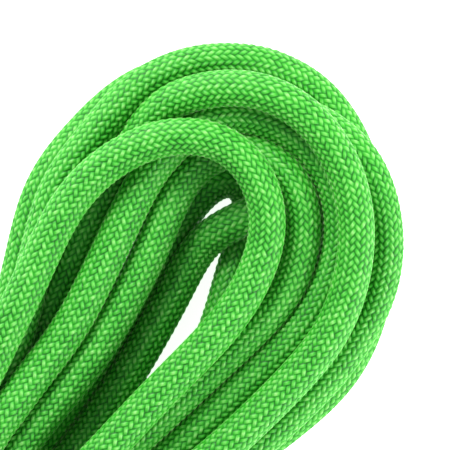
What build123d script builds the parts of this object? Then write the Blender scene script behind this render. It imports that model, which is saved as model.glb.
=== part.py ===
from build123d import *
import math
import os

# A dynamic climbing rope folded into a hank, in millimetres. +X runs along the hank, +Z is up, and the
# origin is on the floor, under the middle of the waist. The folded length is one closed body of the
# hank's outer shape, the turns that bind its waist are a second, and each end of the rope is a real
# tube of sheath with the core inside.

# Driving dimensions
ROPE_D = 10.0  # outside diameter of the sheath
SHEATH_WALL = 0.95  # thickness of the braid
HALF_LENGTH = 185.0  # from the waist to the tip of the bends
WAIST_HALF_WIDTH = 25.0  # the bundle of limbs where the binding turns hold it
WAIST_HEIGHT = 38.0
BINDING_TURNS = 4  # rope diameters along the waist that the binding covers
BINDING_GAP = 0.05  # between the bundle and the turns round it
CORNER_SHARE = 0.42  # a section's corner radius, as a share of its height

# Core
STRAND_D = 1.8  # one twisted core strand
OUTER_STRANDS = 9
INNER_STRANDS = 3
OUTER_RING_R = 3.08  # radius that the outer strands' centres lie on
INNER_RING_R = 1.25
THREAD_D = 0.6  # identification thread in the middle of the core

# Ends
SEAL_LENGTH = 2.0  # melted plug past the cut end of the sheath
SEAL_EDGE = 0.8  # rounding of the plug's rim
SLEEVE_WALL = 0.4
SLEEVE_LENGTH = 13.0
SLEEVE_GAP = 1.0  # bare sheath between the sleeve and the plug
ARC_SHARE = 0.3  # share of the shorter run that an arc takes

WAIST_HALF_LENGTH = BINDING_TURNS * ROPE_D / 2
LIFT = ROPE_D  # the binding passes under the bundle, and lifts it this far
PRESS = 1.5  # how far the laid-down bends are cut by the floor, for a flat underside

# Sections of the hank: distance from the waist, half width, bottom, top
BEND_SECTIONS = (
    (36, 28.0, 5.0, 47.0),
    (62, 35.0, -PRESS, 42.0),
    (88, 43.0, -PRESS, 37.0),
    (110, 48.5, -PRESS, 33.0),
    (130, 50.5, -PRESS, 31.0),
    (150, 46.5, -PRESS, 30.0),
    (167, 37.0, -PRESS, 29.0),
    (178, 25.0, -PRESS, 26.0),
    (HALF_LENGTH, 12.0, -PRESS, 22.0),
)
FAR_SECTIONS = (
    (36, 25.0, 8.0, 47.0),
    (62, 29.0, -PRESS, 41.0),
    (88, 35.5, -PRESS, 36.0),
    (110, 43.5, -PRESS, 32.0),
    (132, 48.5, -PRESS, 30.0),
    (152, 45.5, -PRESS, 29.0),
    (168, 37.0, -PRESS, 28.0),
    (178, 26.0, -PRESS, 25.0),
    (HALF_LENGTH, 13.0, -PRESS, 21.0),
)

# Routes of the rope's two ends, from the binding to the cut end of the sheath
END_Z = ROPE_D / 2 + 0.6  # the sleeve is thicker than the rope, so the end lies this high
START_ROUTE = (
    (-WAIST_HALF_LENGTH, -30, 15),
    (-38, -30, 15),
    (-59, -33.5, 10),
    (-79, -39.5, END_Z),
    (-98, -43.5, END_Z),
)
WORKING_ROUTE = (
    (-WAIST_HALF_LENGTH, 30, 17),
    (-38, 30, 17),
    (-58, 33.5, 12),
    (-77, 39.5, END_Z),
    (-97, 43.5, END_Z),
)


def section(x, half_width, bottom, top):
    """A rounded rectangle across the hank."""
    plane = Plane(origin=(x, 0, (bottom + top) / 2), x_dir=(0, 1, 0), z_dir=(1, 0, 0))
    radius = CORNER_SHARE * min(top - bottom, 2 * half_width)
    return plane * RectangleRounded(2 * half_width, top - bottom, radius)


def waist_section(x, grow=0.0):
    """The waist's own outline, or one that lies grow outside it."""
    plane = Plane(
        origin=(x, 0, LIFT + WAIST_HEIGHT / 2), x_dir=(0, 1, 0), z_dir=(1, 0, 0)
    )
    radius = CORNER_SHARE * WAIST_HEIGHT + grow
    return plane * RectangleRounded(
        2 * (WAIST_HALF_WIDTH + grow), WAIST_HEIGHT + 2 * grow, radius
    )


def hank_body():
    """The folded rope as one closed solid, flat where the bends lie on the floor."""
    far = [section(-x, w, low, high) for x, w, low, high in reversed(FAR_SECTIONS)]
    near = [section(x, w, low, high) for x, w, low, high in BEND_SECTIONS]
    waist = [waist_section(-WAIST_HALF_LENGTH), waist_section(WAIST_HALF_LENGTH)]
    body = loft([*far, *waist, *near], ruled=True)
    above_floor = Pos(0, 0, HALF_LENGTH) * Box(
        3 * HALF_LENGTH, 3 * HALF_LENGTH, 2 * HALF_LENGTH
    )
    return body & above_floor


def waist_binding():
    """The turns of rope that bind the waist, as one closed ring."""
    outer = waist_section(-WAIST_HALF_LENGTH, ROPE_D)
    inner = waist_section(-WAIST_HALF_LENGTH, BINDING_GAP)
    return extrude(outer - inner, amount=2 * WAIST_HALF_LENGTH)


def half_turn(before, at, after):
    """Half of the angle that a route turns through at a point, in radians."""
    return math.radians((at - before).get_angle(after - at)) / 2


def tangent_path(route):
    """Straight runs joined by arcs as large as the runs allow, and the arcs' radii."""
    points = [Vector(*p) for p in route]
    radii = []
    for before, at, after in zip(points, points[1:], points[2:]):
        shorter = min((at - before).length, (after - at).length)
        radii.append(ARC_SHARE * shorter / math.tan(half_turn(before, at, after)))
    return FilletPolyline(*points, radius=radii), radii


def along(path, sketch):
    """A sketch swept along a path, from the path's start."""
    start = Plane(origin=path @ 0, z_dir=path % 0)
    return sweep(start * sketch, path=path)


def strand_places():
    """Where the core strands' centres lie across the rope."""
    rings = ((OUTER_STRANDS, OUTER_RING_R), (INNER_STRANDS, INNER_RING_R))
    places = []
    for count, radius in rings:
        for k in range(count):
            turn = 2 * math.pi * k / count
            places.append((radius * math.cos(turn), radius * math.sin(turn)))
    return places


def rope_end(name, route):
    """The nodes of one end of the rope, as name to solid."""
    path, radii = tangent_path(route)
    rounded = ", ".join(f"{r:.0f}" for r in radii)
    print(f"{name}: {path.length:.1f} mm long, radii {rounded} mm")
    rope_r = ROPE_D / 2
    wall = Circle(rope_r) - Circle(rope_r - SHEATH_WALL)
    nodes = {f"{name}_sheath": along(path, wall)}
    for k, place in enumerate(strand_places(), start=1):
        nodes[f"{name}_core_strand_{k:02d}"] = along(
            path, Pos(*place) * Circle(STRAND_D / 2)
        )
    nodes[f"{name}_id_thread"] = along(path, Circle(THREAD_D / 2))
    tip = Plane(origin=path @ 1, z_dir=path % 1)
    seal = extrude(tip * Circle(rope_r), amount=SEAL_LENGTH)
    rim = seal.edges().sort_by(Axis(tip.origin, tip.z_dir))[-1]
    nodes[f"{name}_seal"] = fillet(rim, SEAL_EDGE)
    cuff = Circle(rope_r + SLEEVE_WALL) - Circle(rope_r)
    cuff_plane = tip.offset(-SLEEVE_GAP - SLEEVE_LENGTH)
    nodes[f"{name}_sleeve"] = extrude(cuff_plane * cuff, amount=SLEEVE_LENGTH)
    section_area = math.pi * (rope_r**2 - (rope_r - SHEATH_WALL) ** 2)
    ratio = nodes[f"{name}_sheath"].volume / (section_area * path.length)
    print(f"{name}: sheath volume is {ratio:.4f} of its section times its length")
    return nodes


def main():
    nodes = {"hank_body": hank_body(), "waist_binding": waist_binding()}
    nodes.update(rope_end("start", START_ROUTE))
    nodes.update(rope_end("working", WORKING_ROUTE))
    os.makedirs("parts", exist_ok=True)
    for name, solid in nodes.items():
        export_step(solid, f"parts/{name}.step")
    print(f"{len(nodes)} nodes")


main()
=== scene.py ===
"""Looks for the climbing rope: one rope in a hank, with a braided sheath, its core and its two ends."""

import math

import bmesh
import bpy
import numpy as np
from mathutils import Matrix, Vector


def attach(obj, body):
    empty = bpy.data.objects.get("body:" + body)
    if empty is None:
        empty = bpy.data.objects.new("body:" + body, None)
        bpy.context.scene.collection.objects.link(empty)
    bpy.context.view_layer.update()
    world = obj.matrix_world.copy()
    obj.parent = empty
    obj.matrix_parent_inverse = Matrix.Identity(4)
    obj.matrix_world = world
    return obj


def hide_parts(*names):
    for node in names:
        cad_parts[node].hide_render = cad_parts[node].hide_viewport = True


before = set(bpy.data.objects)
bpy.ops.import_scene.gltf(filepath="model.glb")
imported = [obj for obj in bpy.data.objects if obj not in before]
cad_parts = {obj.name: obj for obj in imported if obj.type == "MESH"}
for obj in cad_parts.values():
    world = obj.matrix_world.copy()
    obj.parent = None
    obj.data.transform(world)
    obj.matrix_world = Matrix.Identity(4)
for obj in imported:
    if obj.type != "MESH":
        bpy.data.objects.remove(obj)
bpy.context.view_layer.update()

MM = 0.001

# Rope, mm
ROPE_D = 10.0
CARRIERS = 40  # yarns in the braid
EACH_WAY = CARRIERS // 2  # half of them wind one way round, and half the other
LAY = 41.0  # length in which a yarn goes once round the rope
YARN_CUTS = (0.0, 0.24, 0.76)  # where the mesh is divided across a yarn, close to its edges
SIDE_SHARE = 0.2  # how high a yarn's side is where it lies beside the next one, as a share of its crown
FLOAT_HEIGHT = 0.6  # how far a yarn stands out of the groove beside it

# Waist, mm. Sixteen places, four rows of four, each row lying in the grooves of the one below.
ROW_HEIGHT = 8.7
LOWEST_ROW = 15.0
WAIST_END = 16.0
NECK_X = 38.0
NECK_HEIGHT = (0.6, 0.4)  # shares of the place's height and of the limb's, between the two

# The fanned bends, mm, in the order in which the rope runs through them. right and left: how far the two
# limbs lie from the axis at LIMB_X. right_z and left_z: their heights at the first and last of LIMB_X.
# bend: the points round the bend, from right to left. places: (y, row) at the waist.
LIMB_X = (60.0, 90.0, 120.0, 132.0)
HEAD_BENDS = (
    dict(right=(-27, -39, -47.3, -46.8), right_z=(5, 5), left=(22, 30, 42, 42), left_z=(15, 18),
         bend=((149, -41, 5), (163.5, -30, 5), (175.6, -14, 5), (181, 2, 6), (177.2, 16.8, 11),
               (168.2, 31.4, 16), (154.8, 38.6, 18)),
         places=((-17.5, 0), (17.5, 1))),
    dict(right=(-27, -38, -44.5, -45), right_z=(15, 15), left=(25, 35.2, 45.9, 45.4), left_z=(5, 5),
         bend=((147, -43, 15), (158, -37.5, 15), (168, -28, 14), (174, -17, 13), (174, -3, 13),
               (171.5, 10, 10), (168.5, 22, 7), (162.8, 34.5, 5), (150, 42.2, 5)),
         places=((-17.5, 2), (12.5, 0))),
    dict(right=(-10, -17, -12.2, -7.2), right_z=(5, 5), left=(7.5, 7.9, 10.1, 10.8), left_z=(6, 5),
         bend=((136, -6.2, 5), (141, -5, 5), (146.3, -2.8, 5), (150, 1.4, 5), (149.5, 6.8, 5),
               (144.6, 9.4, 5), (138.5, 10, 5)),
         places=((-7.5, 0), (2.5, 0))),
    dict(right=(-18, -29, -33.5, -32), right_z=(5, 5), left=(-2, -1.4, 1.3, 2.7), left_z=(6, 8.5),
         bend=((141, -29.5, 5), (149, -25, 6), (155.5, -19, 8.5), (155.5, -12, 12), (149, -6.9, 14.5),
               (141, -2.9, 13.8), (136, 0.7, 11.5)),
         places=((-12.5, 1), (-2.5, 1))),
    dict(right=(-11, -16, -22, -23.3), right_z=(19, 21), left=(11, 9.2, 12.2, 14.6), left_z=(18, 18),
         bend=((145, -19.2, 21), (153.8, -13.4, 21), (158.6, -4.8, 21), (158.5, 3, 20), (155.2, 10.5, 19),
               (150, 14.5, 18), (142, 16, 18)),
         places=((-7.5, 2), (7.5, 1))),
    dict(right=(-17, -24.6, -30.8, -32.2), right_z=(19, 20), left=(20, 18, 22, 23.8), left_z=(22, 22),
         bend=((147, -29.6, 20), (155.6, -25, 20), (161.7, -19.3, 20), (165.8, -12, 20), (167.8, -4, 20),
               (167.2, 5, 20), (164.2, 12.4, 20), (157, 21.4, 21), (145, 24.8, 22)),
         places=((-2.5, 3), (7.5, 3))),
    dict(right=(-24, -33, -38.3, -38.3), right_z=(24, 25), left=(21, 26, 30.5, 31.8), left_z=(11, 16),
         bend=((147, -34, 26), (160, -26, 27), (168.7, -15.5, 28), (173.7, -1, 29), (171.8, 13.5, 29),
               (162.7, 25.5, 25), (148.5, 31.8, 20)),
         places=((-12.5, 3), (12.5, 2))),
    dict(right=(-6, -10.5, -14.8, -13.5), right_z=(28, 28), left=(28, 32.5, 37, 35), left_z=(25, 28),
         bend=((143, -10, 29), (151, -2.5, 30), (155.5, 9, 30), (153, 19, 30), (145, 28.5, 30)),
         places=((2.5, 2), (17.5, 3))),
)

# The bends at the other end, mm: half width on the right and on the left, distance of the tip, and how
# many bends lie under it
FAR_BENDS = (
    (27, 44, 178, 0),
    (40, 28, 168, 0),
    (33, 20, 156, 0),
    (44, 36, 183, 1),
    (22, 42, 170, 1),
    (36, 31, 176, 2),
    (26, 38, 164, 2),
)
LAYER = 9.0
# Their limbs: x, then the shares of the waist place's y and of the bend's half width, then the shares of
# the waist place's height and of the bend's
FAR_LIMB = (
    (-NECK_X, 0.62, 0.1, 0.65, 0.35),
    (-62, 0.4, 0.3, 0.2, 0.8),
    (-90, 0.2, 0.6, 0, 1),
    (-120, 0, 0.93, 0, 1),
)
FAR_ROUNDING = (17, 0.72)  # a limb turns in so far before the tip, at this share of the half width
FAR_LEAN = 0.35  # how far the tip moves towards the wider side, as a share of the difference

# The binding, mm: the rope's last turns go round the waist as a rounded box
BINDING_HALF_WIDTH = 28.0
BINDING_HALF_HEIGHT = 23.2
BINDING_SQUARENESS = 4.0
BINDING_PITCH = 10.2
BINDING_START_X = 17.5
BINDING_TURNS = (0.12, 3.86)  # from the left side, up and over
BINDING_POINTS = 20  # a turn
BINDING_LEAD_IN = ((37, 26, 30), (27, 28.5, 34))
BINDING_LEAD_OUT = ((-23.5, 30, 15.5),)

# The rope's two loose ends, m: the cut ends lie as the CAD tubes do, and the rest goes in under the
# binding
START_ROUTE = (
    (-0.098, -0.0435, 0.0056),
    (-0.079, -0.0395, 0.0056),
    (-0.059, -0.0325, 0.0100),
    (-0.038, -0.0230, 0.0145),
    (-0.018, -0.0178, 0.0150),
)
WORKING_ROUTE = (
    (-0.038, 0.0300, 0.0170),
    (-0.058, 0.0335, 0.0120),
    (-0.077, 0.0395, 0.0056),
    (-0.097, 0.0435, 0.0056),
)

# Settling: the turns sink onto each other and the floor, and are pushed apart where they overlap
STEP = 5.0  # mm between points
SMOOTH_POINTS = 24  # worked out between two given points, before they are spaced evenly
CONTACT = 9.2  # mm between the centres of two turns that touch: the rope is soft, and gives a little
SETTLE_ROUNDS = 400
SINK = 0.25  # mm a round, at first
SINK_ROUNDS = 0.8 * SETTLE_ROUNDS  # after so many rounds, nothing sinks any more
STIFFNESS = 0.45
PAIRS_EVERY = 8  # rounds between two searches for turns that may touch
PAIRS_REACH = 1.35 * ROPE_D
NEIGHBOURS = 5  # points so close along the rope don't count as touching
SEARCH_BLOCK = 400  # points compared at a time
CORRECTIONS = 3  # of lengths and contacts, in a round
PULL, PUSH = 0.25, 0.5  # share of an error in length, and of an overlap, that one end takes up
PUSH_SPREAD = 0.55  # share of the contacts at a point that their pushes together are divided by
HOLD_BENDS, HOLD_WAIST, HOLD_FAR = 0.2, 0.25, 0.03  # how firmly a point keeps its place in plan
HOLD_HEIGHT = 0.12  # how firmly the fanned bends keep their height
BENDS_X, WAIST_X = 50, 24  # where the fanned bends begin, and where the waist ends

# Ends, mm. Distances are from the cut end of the sheath, and the plug lies past it.
PLY_POINTS = 6  # round the outside of each ply
PLY_GROOVE = 0.2  # depth of the grooves between plies, as a share of the strand's radius
STRAND_R = 0.9
STRAND_PLACES = ((9, 3.08), (3, 1.25))  # how many strands, on a ring of this radius
STRAND_PLIES, STRAND_PITCH = 3, 9.0
THREAD_R = 0.3
THREAD_PLIES, THREAD_PITCH = 2, 3.0
CORE_LENGTH, CORE_STEP = 80.0, 0.8
SLEEVE = (1.0, 14.0)
SLEEVE_ROWS, SLEEVE_AROUND = 50, 160  # points in its mesh
SLEEVE_R = 5.34
SLEEVE_RELIEF = 0.09  # how far the braid shows through the sleeve
SLEEVE_EDGE = 0.2
PLUG = ((0.8, 4.5), (0.75, 5.05), (0.2, 5.1), (-0.5, 5.15), (-1.1, 4.95), (-1.6, 4.4), (-1.9, 3.4),
        (-1.95, 2.2), (-1.8, 1.0), (-1.75, 0.3))  # distance, radius
PLUG_AROUND = 72
PLUG_FACE = -1  # past this distance it is the plug's face
PLUG_WAVES = ((0.012, 3, 1), (0.008, 7, 0))  # lumps round it: share of the radius, number, turn
PLUG_SWELL = (0.1, 5, 2)  # lumps on its face: height, number, turn

# Green of the yarn with painted shade towards the groove and a pale painted highlight at its crown, from
# the groove to the crown: place on the ramp, red, green, blue
YARN_GREEN_PAINTED_SHADE_TO_HIGHLIGHT = (
    (0.0, 0.004, 0.120, 0.003),
    (0.25, 0.014, 0.260, 0.009),
    (0.6, 0.044, 0.410, 0.024),
    (0.95, 0.140, 0.520, 0.082),
    (1.2, 0.320, 0.620, 0.210),
)
RAMP_END = YARN_GREEN_PAINTED_SHADE_TO_HIGHLIGHT[-1][0]
TONE_RANGE = (-0.16, 0.2)  # how far along the ramp one stretch of yarn differs from the next
TONE_HASH = (12.9898, 78.233, 43758.5453)  # factors that scatter the tones

# Light, W and m
SKY_LOW, SKY_HIGH = 1.6, 0.3  # strength of the white round it, at the horizon and overhead
KEY_WATTS = 6.0
KEY_SIZE = 0.3
KEY_AT = (0.40, 0.50, 0.46)
FILL_WATTS = 6.3
FILL_SIZE = 0.5
FILL_AT = (0.30, -0.66, 0.35)
LOOK_AT = (0.12, 0.0, 0.0)
FLOOR_SIZE = 60
FLOOR_GLOW = 0.9  # a lit table, as the white round the rope has no shadow

# Camera: straight above the bends
CAMERA_AT = (0.138, 0.0002, 2.0)
CAMERA_TURN = -55  # degrees
CAMERA_LENS = 602  # mm


def catmull(points, step):
    """A smooth line through points, as points about step apart."""
    p = np.array(points, float)
    p = np.vstack([2 * p[0] - p[1], p, 2 * p[-1] - p[-2]])
    pieces = []
    for a, b, c, d in zip(p, p[1:], p[2:], p[3:]):
        gaps = [np.linalg.norm(v) ** 0.5 for v in (b - a, c - b, d - c)]
        t0, t1, t2, t3 = np.concatenate([[0], np.cumsum(gaps)])
        t = np.linspace(t1, t2, SMOOTH_POINTS, endpoint=False)[:, None]
        ab = ((t1 - t) * a + (t - t0) * b) / (t1 - t0)
        bc = ((t2 - t) * b + (t - t1) * c) / (t2 - t1)
        cd = ((t3 - t) * c + (t - t2) * d) / (t3 - t2)
        abc = ((t2 - t) * ab + (t - t0) * bc) / (t2 - t0)
        bcd = ((t3 - t) * bc + (t - t1) * cd) / (t3 - t1)
        pieces.append(((t2 - t) * abc + (t - t1) * bcd) / (t2 - t1))
    return respaced(np.vstack([*pieces, p[-2:-1]]), step)


def lengths_along(line):
    """How far along a line each of its points lies."""
    return np.concatenate([[0], np.cumsum(np.linalg.norm(np.diff(line, axis=0), axis=1))])


def at_lengths(line, values, lengths):
    """Values known at a line's points, read at lengths along it."""
    along = lengths_along(line)
    return np.stack([np.interp(lengths, along, column) for column in values.T], 1)


def respaced(line, step):
    """The same line, as points about step apart."""
    total = lengths_along(line)[-1]
    return at_lengths(line, line, np.linspace(0, total, max(2, round(total / step) + 1)))


def place_point(x, place):
    """A point of the waist bundle. place is y and the row."""
    y, row = place
    return (x, y, LOWEST_ROW + ROW_HEIGHT * row)


def neck_point(x, place, y, z):
    """Between a place at the waist and a limb that starts at y, z."""
    _, place_y, place_z = place_point(x, place)
    of_place, of_limb = NECK_HEIGHT
    return (x, (place_y + y) / 2, of_place * place_z + of_limb * z)


def limb(place, sides, heights):
    """A limb of a fanned bend, from the waist to where the bend begins."""
    yield place_point(0, place)
    yield place_point(WAIST_END, place)
    yield neck_point(NECK_X, place, sides[0], heights[0])
    for x, y in zip(LIMB_X, sides):
        yield (x, y, np.interp(x, (LIMB_X[0], LIMB_X[-1]), heights))


def head_bend(right, right_z, bend, left, left_z, places):
    """One fanned bend, from the waist along its right limb, round, and back along the left."""
    out = limb(places[0], right, right_z)
    back = limb(places[1], left, left_z)
    return [*out, *bend, *reversed(list(back))]


def far_limb(place, wide, z, tip, middle):
    """A limb of a bend at the other end, from the waist to where it turns in to the tip."""
    _, y, high = place_point(0, place)
    yield (-WAIST_END, y, high)
    for x, of_place, of_bend, high_share, low_share in FAR_LIMB:
        yield (x, of_place * y + of_bend * wide, high_share * high + low_share * z)
    before_tip, share = FAR_ROUNDING
    yield (before_tip - tip, middle + share * (wide - middle), z)


def far_bend(shape, place_in, place_out):
    """One bend of the other end, from the waist along its left limb, round, and back along the right."""
    wide_right, wide_left, tip, layer = shape
    z = ROPE_D / 2 + LAYER * layer
    middle = FAR_LEAN * (wide_left - wide_right)
    out = far_limb(place_in, wide_left, z, tip, middle)
    back = far_limb(place_out, -wide_right, z, tip, middle)
    return [*out, (-tip, middle, z), *reversed(list(back))]


def binding():
    """The turns round the waist."""
    first, last = BINDING_TURNS
    middle = LOWEST_ROW - ROPE_D + BINDING_HALF_HEIGHT
    power = BINDING_SQUARENESS
    for turn in np.linspace(first, last, round((last - first) * BINDING_POINTS) + 1):
        side, up = math.cos(2 * math.pi * turn), math.sin(2 * math.pi * turn)
        reach = (abs(side) ** power + abs(up) ** power) ** (-1 / power)
        x = BINDING_START_X - BINDING_PITCH * turn
        yield (x, BINDING_HALF_WIDTH * side * reach, middle + BINDING_HALF_HEIGHT * up * reach)


def hank_points():
    """Every turn of the hank in the order in which the rope runs, from one loose end to the other."""
    points = []
    for bend, shape, following in zip(HEAD_BENDS, FAR_BENDS, HEAD_BENDS[1:]):
        points += head_bend(**bend)
        points += far_bend(shape, bend["places"][1], following["places"][0])
    points += head_bend(**HEAD_BENDS[-1])[:-3]  # the last limb leaves for the binding before the waist
    return [*points, *BINDING_LEAD_IN, *binding(), *BINDING_LEAD_OUT]


def touching(points, reach):
    """Pairs of points closer than reach that aren't neighbours along the rope."""
    firsts, seconds = [], []
    for start in range(0, len(points), SEARCH_BLOCK):
        gap = points[start : start + SEARCH_BLOCK, None, :] - points[None, :, :]
        first, second = np.nonzero((gap**2).sum(2) < reach**2)
        first = first + start
        apart = second - first > NEIGHBOURS
        firsts.append(first[apart])
        seconds.append(second[apart])
    return np.concatenate(firsts), np.concatenate(seconds)


def straightened(points, free):
    """A step that evens out how sharply the rope bends."""
    middle = np.zeros_like(points)
    middle[1:-1] = (points[:-2] + points[2:]) / 2 - points[1:-1]
    change = np.zeros_like(points)
    change[1:-1] = middle[1:-1] - (middle[:-2] + middle[2:]) / 2
    return points + STIFFNESS * change * free


def pulled_to_length(points, rest, free):
    """A step that brings neighbours back to the distances they had."""
    run = points[1:] - points[:-1]
    long = np.linalg.norm(run, axis=1)
    pull = (PULL * (long - rest) / long)[:, None] * run
    points[:-1] += pull * free[:-1]
    points[1:] -= pull * free[1:]
    return points


def pushed_apart(points, pairs, free):
    """A step that moves turns away from each other where they are closer than CONTACT."""
    first, second = pairs
    count = len(points)
    between = points[second] - points[first]
    long = np.linalg.norm(between, axis=1) + 1e-9
    close = long < CONTACT
    push = (PUSH * (CONTACT - long[close]) / long[close])[:, None] * between[close]
    moved, times = np.zeros_like(points), np.zeros(count)
    for ends, sign in ((first[close], -1), (second[close], 1)):
        times += np.bincount(ends, minlength=count)
        for k in range(3):
            moved[:, k] += sign * np.bincount(ends, push[:, k], count)
    return points + moved / np.maximum(1, PUSH_SPREAD * times)[:, None] * free


def settle(start, free, hold):
    """Lets the turns lie on each other. free is 0 for points that keep their place, and hold is how
    firmly a point keeps to its start along each axis."""
    points = start.copy()
    rest = np.linalg.norm(np.diff(start, axis=0), axis=1)
    free = free[:, None]
    for done in range(SETTLE_ROUNDS):
        if done % PAIRS_EVERY == 0:
            pairs = touching(points, PAIRS_REACH)
        points[:, 2] -= SINK * max(0.0, 1 - done / SINK_ROUNDS) * free[:, 0]
        points += (hold * free) * (start - points)
        points = straightened(straightened(points, free), free)
        for _ in range(CORRECTIONS):
            points = pulled_to_length(points, rest, free)
            points = pushed_apart(points, pairs, free)
            points[:, 2] = np.maximum(points[:, 2], ROPE_D / 2)
    return points


def rope_points():
    """Control points of the whole rope's spline, m."""
    turns = catmull(hank_points(), STEP)
    ends = [catmull(np.array(route) / MM, STEP) for route in (START_ROUTE, WORKING_ROUTE)]
    start = np.vstack([ends[0], turns, ends[1]])
    x = start[:, 0]
    in_plan = np.where(x > BENDS_X, HOLD_BENDS, np.where(abs(x) < WAIST_X, HOLD_WAIST, HOLD_FAR))
    in_height = np.where(x > BENDS_X, HOLD_HEIGHT, 0)
    hold = np.stack([in_plan, in_plan, in_height], 1)
    free = np.ones(len(start))
    free[: len(ends[0])] = 0
    free[-len(ends[1]) :] = 0
    settled = settle(start, free, hold)[len(ends[0]) : -len(ends[1])]
    return [*START_ROUTE, *(settled[1:-1] * MM), *WORKING_ROUTE]


def spline_line(points):
    """Points along a smooth spline with these control points."""
    curve = bpy.data.curves.new("route", "CURVE")
    curve.dimensions = "3D"
    spline = curve.splines.new("NURBS")
    spline.points.add(len(points) - 1)
    for at, point in zip(spline.points, points):
        at.co = (*point, 1)
    spline.order_u = 3
    spline.use_endpoint_u = True
    spline.resolution_u = 4
    holder = bpy.data.objects.new("route", curve)
    mesh = bpy.data.meshes.new_from_object(holder)
    line = np.array([v.co for v in mesh.vertices])
    bpy.data.meshes.remove(mesh)
    bpy.data.objects.remove(holder)
    bpy.data.curves.remove(curve)
    return line


def frames_along(line):
    """The direction ahead at each point of a line, and two across it that don't twist round it."""
    ahead = np.gradient(line, axis=0)
    ahead /= np.linalg.norm(ahead, axis=1)[:, None]
    side = np.cross(ahead[0], (0, 0, 1))
    sides = np.empty_like(line)
    for i, forward in enumerate(ahead):
        side = side - forward * (side @ forward)
        side = side / np.linalg.norm(side)
        sides[i] = side
    return ahead, sides, np.cross(ahead, sides)


class Tube:
    """Places round a line: at gives the points that lie at a length, an angle and a radius, m. It runs
    straight on past both ends of the line."""

    def __init__(self, line):
        self.line = line
        self.length = lengths_along(line)[-1]
        self.ahead, self.sides, self.ups = frames_along(line)

    def at(self, lengths, angles, radii):
        inside = np.clip(lengths, 0, self.length)
        centre, ahead, side, up = (
            at_lengths(self.line, values, inside.ravel()).reshape(*inside.shape, 3)
            for values in (self.line, self.ahead, self.sides, self.ups)
        )
        across = np.cos(angles)[..., None] * side + np.sin(angles)[..., None] * up
        return centre + (lengths - inside)[..., None] * ahead + radii[..., None] * across


def mesh_object(name, points, quads, material):
    """An object from arrays of points and four-cornered faces."""
    mesh = bpy.data.meshes.new(name)
    mesh.vertices.add(len(points))
    mesh.vertices.foreach_set("co", np.ascontiguousarray(points, np.float32).ravel())
    mesh.loops.add(quads.size)
    mesh.loops.foreach_set("vertex_index", quads.astype(np.int32).ravel())
    mesh.polygons.add(len(quads))
    mesh.polygons.foreach_set("loop_start", np.arange(0, quads.size, 4, dtype=np.int32))
    mesh.polygons.foreach_set("use_smooth", np.ones(len(quads), bool))
    mesh.update(calc_edges=True)
    mesh.validate()
    mesh.materials.append(material)
    piece = bpy.data.objects.new(name, mesh)
    bpy.context.collection.objects.link(piece)
    return piece


def braid(tube, material):
    """The sheath: a two-over, two-under braid as one mesh whose edges run along the yarns."""
    cuts = len(YARN_CUTS)
    around = EACH_WAY * cuts
    row_gap = LAY * MM / (2 * around)
    rows = int(tube.length / row_gap)
    row, right_cut = np.meshgrid(np.arange(rows + 1), np.arange(around), indexing="ij")
    left_cut = right_cut + row
    places = np.array(YARN_CUTS)
    right_yarn, left_yarn = right_cut // cuts, left_cut // cuts
    right = right_yarn + places[right_cut % cuts]  # place across the right-hand yarns
    left = left_yarn + places[left_cut % cuts]  # and across the left-hand ones
    angle = math.pi * (right + left) / EACH_WAY
    lengths = (left - right) * tube.length / (rows / cuts)
    crown = crown_at(right, left)
    radius = (ROPE_D / 2 - FLOAT_HEIGHT * (1 - crown)) * MM
    points = tube.at(lengths, angle, radius).reshape(-1, 3)

    # A face has corners in three rows: the one below, two in its own, and the one above
    own_row, start = np.meshgrid(np.arange(1, rows), np.arange(around), indexing="ij")
    beside = (start + 1) % around
    corners = (
        own_row * around + start,
        (own_row - 1) * around + beside,
        own_row * around + beside,
        (own_row + 1) * around + start,
    )
    piece = mesh_object("sheath", points, np.stack(corners, -1).reshape(-1, 4), material)
    for name, values in (("crown", crown), ("tone", tone_of(right_yarn, left_yarn))):
        layer = piece.data.attributes.new(name, "FLOAT", "POINT")
        layer.data.foreach_set("value", values.ravel().astype(np.float32))
    return piece


def on_top(right_yarn, left_yarn):
    """Where a right-hand and a left-hand yarn cross: whether the right-hand one is on top, and at which
    crossing the visible stretch of the upper one started."""
    phase = (right_yarn + left_yarn) % 4
    right_hand = phase < 2
    return right_hand, np.where(right_hand, left_yarn - phase, right_yarn - (phase - 2))


def tone_of(right_yarn, left_yarn):
    """A shade, from 0 to 1, that each visible stretch of yarn has of its own."""
    right_hand, started = on_top(right_yarn, left_yarn)
    yarn = np.where(right_hand, right_yarn % EACH_WAY, 100 + left_yarn % EACH_WAY)
    by_yarn, by_start, scatter = TONE_HASH
    return np.modf(abs(np.sin(yarn * by_yarn + started * by_start) * scatter))[0]


def crown_in(right_yarn, left_yarn, right, left):
    """How far the yarn stands out, from 0 to 1, at the place right, left in one crossing's cell."""
    right_hand, started = on_top(right_yarn, left_yarn)
    along = np.where(right_hand, left, right) - started
    across = np.where(right_hand, right - right_yarn, left - left_yarn)
    arch = 1 - np.clip(abs(along - 1), 0, 1) ** 2
    bulge = np.sqrt(np.clip(4 * across * (1 - across), 0, 1))
    return arch * (SIDE_SHARE + (1 - SIDE_SHARE) * bulge)


def crown_at(right, left):
    """How far the yarn stands out at the place right, left, where up to four cells meet."""
    nudge = 0.001
    near = [
        crown_in(np.floor(right + i).astype(int), np.floor(left + j).astype(int), right, left)
        for i in (-nudge, nudge)
        for j in (-nudge, nudge)
    ]
    return sum(near) / len(near)


def ring_quads(rows, around, first=0, closed=False):
    """Faces of a grid that closes round, and from its last row to its first if closed."""
    row, n = np.meshgrid(np.arange(rows if closed else rows - 1), np.arange(around), indexing="ij")
    beside = (n + 1) % around
    above = (row + 1) % rows
    corners = (row * around + n, row * around + beside, above * around + beside, above * around + n)
    return first + np.stack(corners, -1).reshape(-1, 4)


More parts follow.
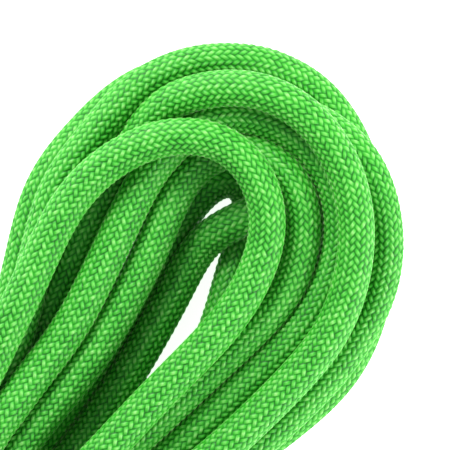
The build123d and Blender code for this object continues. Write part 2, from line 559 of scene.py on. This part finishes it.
def tidied(piece):
    """Closes a piece's open ends and turns its faces outwards."""
    shape = bmesh.new()
    shape.from_mesh(piece.data)
    rims = [edge for edge in shape.edges if edge.is_boundary]
    bmesh.ops.holes_fill(shape, edges=rims, sides=0)
    bmesh.ops.recalc_face_normals(shape, faces=shape.faces)
    shape.to_mesh(piece.data)
    shape.free()
    return piece


def twisted(name, tube, lengths, places, radius, plies, pitch, material):
    """Strands twisted of plies, side by side inside the sheath, as one piece. lengths is in m."""
    around = PLY_POINTS * plies
    far, turn = np.meshgrid(lengths, 2 * math.pi * np.arange(around) / around, indexing="ij")
    lobes = abs(np.cos(plies * (turn - 2 * math.pi * far / (pitch * MM)) / 2))
    reach = radius * (1 - PLY_GROOVE + PLY_GROOVE * lobes)
    points, quads = [], []
    for x, y in places:
        x_at = x + reach * np.cos(turn)
        y_at = y + reach * np.sin(turn)
        grid = tube.at(far, np.arctan2(y_at, x_at), np.hypot(x_at, y_at) * MM)
        quads.append(ring_quads(len(lengths), around, first=len(points) * far.size))
        points.append(grid.reshape(-1, 3))
    return tidied(mesh_object(name, np.vstack(points), np.vstack(quads), material))


def strand_places():
    """Where the core strands' centres lie across the rope, mm."""
    for count, ring in STRAND_PLACES:
        for k in range(count):
            turn = 2 * math.pi * k / count
            yield ring * math.cos(turn), ring * math.sin(turn)


def crown_under(lengths, angles):
    """How far the braid stands out under a place on the rope."""
    total = angles * EACH_WAY / math.pi
    ahead = lengths / (LAY * MM / (2 * EACH_WAY))
    return crown_at((total - ahead) / 2, (total + ahead) / 2)


def sleeve(name, tube, from_end, material):
    """A sleeve shrunk over the sheath near an end, with the braid showing through as low bumps."""
    near, far = SLEEVE
    steps = np.linspace(near, far, SLEEVE_ROWS)
    outside = [(step, SLEEVE_R, 1) for step in steps[1:-1]]
    rims = ((near, SLEEVE_R - SLEEVE_EDGE, 0), (far, SLEEVE_R - SLEEVE_EDGE, 0))
    inside = ((far, ROPE_D / 2 - FLOAT_HEIGHT, 0), (near, ROPE_D / 2 - FLOAT_HEIGHT, 0))
    distance, radius, relief = np.array([rims[0], *outside, rims[1], *inside]).T
    angles = 2 * math.pi * np.arange(SLEEVE_AROUND) / SLEEVE_AROUND
    lengths = from_end(distance * MM)[:, None] + 0 * angles
    turn = lengths * 0 + angles
    reach = radius[:, None] + SLEEVE_RELIEF * relief[:, None] * crown_under(lengths, turn)
    points = tube.at(lengths, turn, reach * MM).reshape(-1, 3)
    quads = ring_quads(len(distance), len(angles), closed=True)
    return tidied(mesh_object(name, points, quads, material))


def seal(name, tube, from_end, material):
    """The plug where sheath and core are melted together: a slightly lumpy button."""
    distance, radius = np.array(PLUG).T
    angles = 2 * math.pi * np.arange(PLUG_AROUND) / PLUG_AROUND
    lumps = 1 + sum(share * np.sin(number * angles + turn) for share, number, turn in PLUG_WAVES)
    height, number, turn = PLUG_SWELL
    swell = height * np.sin(number * angles + turn) * (distance < PLUG_FACE)[:, None]
    lengths = from_end((distance[:, None] + swell) * MM)
    points = tube.at(lengths, lengths * 0 + angles, radius[:, None] * lumps * MM).reshape(-1, 3)
    return tidied(mesh_object(name, points, ring_quads(len(distance), len(angles)), material))


def rope_end(name, tube, from_end, materials):
    """The pieces in and on one end of the rope. from_end turns a distance from the end into a length."""
    lengths = np.sort(from_end(np.arange(0, CORE_LENGTH, CORE_STEP) * MM))
    places = list(strand_places())
    core = twisted(
        f"{name}_twisted_core", tube, lengths, places, STRAND_R, STRAND_PLIES, STRAND_PITCH,
        materials["core"],
    )
    thread = twisted(
        f"{name}_twisted_thread", tube, lengths, [(0, 0)], THREAD_R, THREAD_PLIES, THREAD_PITCH,
        materials["id_thread"],
    )
    cuff = sleeve(f"{name}_shrunk_sleeve", tube, from_end, materials["sleeve"])
    plug = seal(f"{name}_melted_seal", tube, from_end, materials["seal"])
    strands = [f"{name}_core_strand_{k:02d}" for k in range(1, 1 + len(places))]
    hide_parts(*strands)
    for piece, slot in ((thread, "id_thread"), (cuff, "sleeve"), (plug, "seal")):
        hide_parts(f"{name}_{slot}")
    made = [core, thread, cuff, plug]
    for piece in made:
        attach(piece, "root")
    return made


def texture(nodes, links, scale):
    """Noise in the object's own space; scale is in bumps a metre."""
    place = nodes.new("ShaderNodeTexCoord")
    noise = nodes.new("ShaderNodeTexNoise")
    noise.inputs["Scale"].default_value = scale
    noise.inputs["Detail"].default_value = 3.0
    links.new(place.outputs["Object"], noise.inputs["Vector"])
    return noise.outputs["Fac"]


def ramp(nodes, links, value, stops):
    """A colour ramp through stops, each (place, red, green, blue)."""
    colours = nodes.new("ShaderNodeValToRGB")
    elements = colours.color_ramp.elements
    while len(elements) < len(stops):
        elements.new(0.5)
    for element, (place, *colour) in zip(elements, stops):
        element.position = place
        element.color = (*colour, 1)
    links.new(value, colours.inputs["Fac"])
    return colours.outputs["Color"]


def grain(nodes, links, shader, scale, depth, rough):
    """Fine bumps, and a roughness that varies with them between the two values of rough."""
    noise = texture(nodes, links, scale)
    bump = nodes.new("ShaderNodeBump")
    bump.inputs["Distance"].default_value = depth
    links.new(noise, bump.inputs["Height"])
    links.new(bump.outputs["Normal"], shader.inputs["Normal"])
    spread = nodes.new("ShaderNodeMapRange")
    spread.inputs["To Min"].default_value, spread.inputs["To Max"].default_value = rough
    links.new(noise, spread.inputs["Value"])
    links.new(spread.outputs["Result"], shader.inputs["Roughness"])


def new_material(name):
    """A material, with its nodes, its links and its shader."""
    material = bpy.data.materials.new(name)
    material.use_nodes = True
    tree = material.node_tree
    return material, tree.nodes, tree.links, tree.nodes["Principled BSDF"]


def mottled(name, dark, light, scale, depth, rough, sheen=0.0, coat=0.0):
    """A material between two colours, with fine grain."""
    material, nodes, links, shader = new_material(name)
    value = texture(nodes, links, scale / 4)
    links.new(ramp(nodes, links, value, ((0.35, *dark), (0.65, *light))), shader.inputs["Base Color"])
    grain(nodes, links, shader, scale, depth, rough)
    shader.inputs["Sheen Weight"].default_value = sheen
    shader.inputs["Coat Weight"].default_value = coat
    return material


def sheath_material():
    """Green polyamide yarn, with a painted highlight on the crown of each stretch of yarn and painted
    shade deep in the grooves.
    """
    material, nodes, links, shader = new_material("sheath")
    crown = nodes.new("ShaderNodeAttribute")
    crown.attribute_name = "crown"
    tone = nodes.new("ShaderNodeAttribute")
    tone.attribute_name = "tone"
    spread = nodes.new("ShaderNodeMapRange")
    spread.inputs["To Min"].default_value, spread.inputs["To Max"].default_value = TONE_RANGE
    links.new(tone.outputs["Fac"], spread.inputs["Value"])
    # the crown plus each stretch's random tone picks the colour: low values give painted shade in the
    # grooves, high values a pale painted highlight on the crown
    shade = nodes.new("ShaderNodeMath")
    links.new(crown.outputs["Fac"], shade.inputs[0])
    links.new(spread.outputs["Result"], shade.inputs[1])
    along_ramp = nodes.new("ShaderNodeMapRange")
    along_ramp.inputs["From Max"].default_value = RAMP_END
    links.new(shade.outputs["Value"], along_ramp.inputs["Value"])
    stops = [(place / RAMP_END, *colour) for place, *colour in YARN_GREEN_PAINTED_SHADE_TO_HIGHLIGHT]
    links.new(ramp(nodes, links, along_ramp.outputs["Result"], stops), shader.inputs["Base Color"])
    grain(nodes, links, shader, scale=5000, depth=0.00004, rough=(0.36, 0.56))
    shader.inputs["Sheen Weight"].default_value = 0.5
    shader.inputs["Sheen Roughness"].default_value = 0.3
    shader.inputs["Specular IOR Level"].default_value = 0.3
    shader.inputs["Sheen Tint"].default_value = (0.75, 1.0, 0.6, 1)
    return material


def area_light(name, watts, size, place):
    """A square light turned towards the bends."""
    light = bpy.data.lights.new(name, "AREA")
    light.energy = watts
    light.size = size
    lamp = bpy.data.objects.new(name, light)
    lamp.location = place
    lamp.rotation_euler = (Vector(LOOK_AT) - Vector(place)).to_track_quat("-Z", "Y").to_euler()
    bpy.context.collection.objects.link(lamp)


def sky():
    """White all round, stronger at the horizon than overhead, and plain white to the camera."""
    world = bpy.data.worlds.new("studio")
    bpy.context.scene.world = world
    world.use_nodes = True
    nodes, links = world.node_tree.nodes, world.node_tree.links
    seen = nodes.new("ShaderNodeLightPath")
    place = nodes.new("ShaderNodeTexCoord")
    parts = nodes.new("ShaderNodeSeparateXYZ")
    links.new(place.outputs["Generated"], parts.inputs["Vector"])
    by_height = nodes.new("ShaderNodeMapRange")
    by_height.inputs["To Min"].default_value = SKY_LOW
    by_height.inputs["To Max"].default_value = SKY_HIGH
    links.new(parts.outputs["Z"], by_height.inputs["Value"])
    strength = nodes.new("ShaderNodeMapRange")
    links.new(by_height.outputs["Result"], strength.inputs["To Min"])
    links.new(seen.outputs["Is Camera Ray"], strength.inputs["Value"])
    nodes["Background"].inputs["Color"].default_value = (1, 1, 1, 1)
    links.new(strength.outputs["Result"], nodes["Background"].inputs["Strength"])


def table():
    """A white table that glows, so that the rope throws hardly any shadow on it."""
    bpy.ops.mesh.primitive_plane_add(size=FLOOR_SIZE)
    floor = bpy.context.object
    floor.name = "floor"
    white, _, _, shader = new_material("floor")
    shader.inputs["Base Color"].default_value = (0.9, 0.9, 0.9, 1)
    shader.inputs["Roughness"].default_value = 0.9
    shader.inputs["Emission Color"].default_value = (1, 1, 1, 1)
    shader.inputs["Emission Strength"].default_value = FLOOR_GLOW
    floor.data.materials.append(white)


def camera_above():
    """A long lens straight above the bends, turned so that the hank runs down to the left."""
    lens = bpy.data.cameras.new("camera")
    lens.lens = CAMERA_LENS
    lens.clip_end = 100
    camera = bpy.data.objects.new("camera", lens)
    camera.location = CAMERA_AT
    camera.rotation_euler = (0, 0, math.radians(CAMERA_TURN))
    bpy.context.collection.objects.link(camera)
    bpy.context.scene.camera = camera


line = spline_line(rope_points())
tube = Tube(line)
sheath = braid(tube, sheath_material())
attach(sheath, "root")
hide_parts("hank_body", "waist_binding", "start_sheath", "working_sheath")
end_materials = {
    "core": mottled(
        "core", dark=(0.70, 0.70, 0.64), light=(0.90, 0.90, 0.86), scale=6000, depth=0.00005,
        rough=(0.5, 0.7), sheen=0.3,
    ),
    "id_thread": mottled(
        "id_thread", dark=(0.55, 0.12, 0.03), light=(0.85, 0.28, 0.06), scale=6000, depth=0.00005,
        rough=(0.5, 0.7),
    ),
    "sleeve": mottled(
        "sleeve", dark=(0.022, 0.022, 0.026), light=(0.045, 0.045, 0.05), scale=2500, depth=0.00002,
        rough=(0.4, 0.55),
    ),
    "seal": mottled(
        "seal", dark=(0.02, 0.17, 0.02), light=(0.06, 0.33, 0.05), scale=1500, depth=0.0001,
        rough=(0.2, 0.4), coat=0.3,
    ),
}
end_pieces = [
    *rope_end("start", tube, lambda distance: distance, end_materials),
    *rope_end("working", tube, lambda distance: tube.length - distance, end_materials),
]

sky()
table()
area_light("key", KEY_WATTS, KEY_SIZE, KEY_AT)
area_light("fill", FILL_WATTS, FILL_SIZE, FILL_AT)
camera_above()
bpy.context.scene.view_settings.view_transform = "Standard"
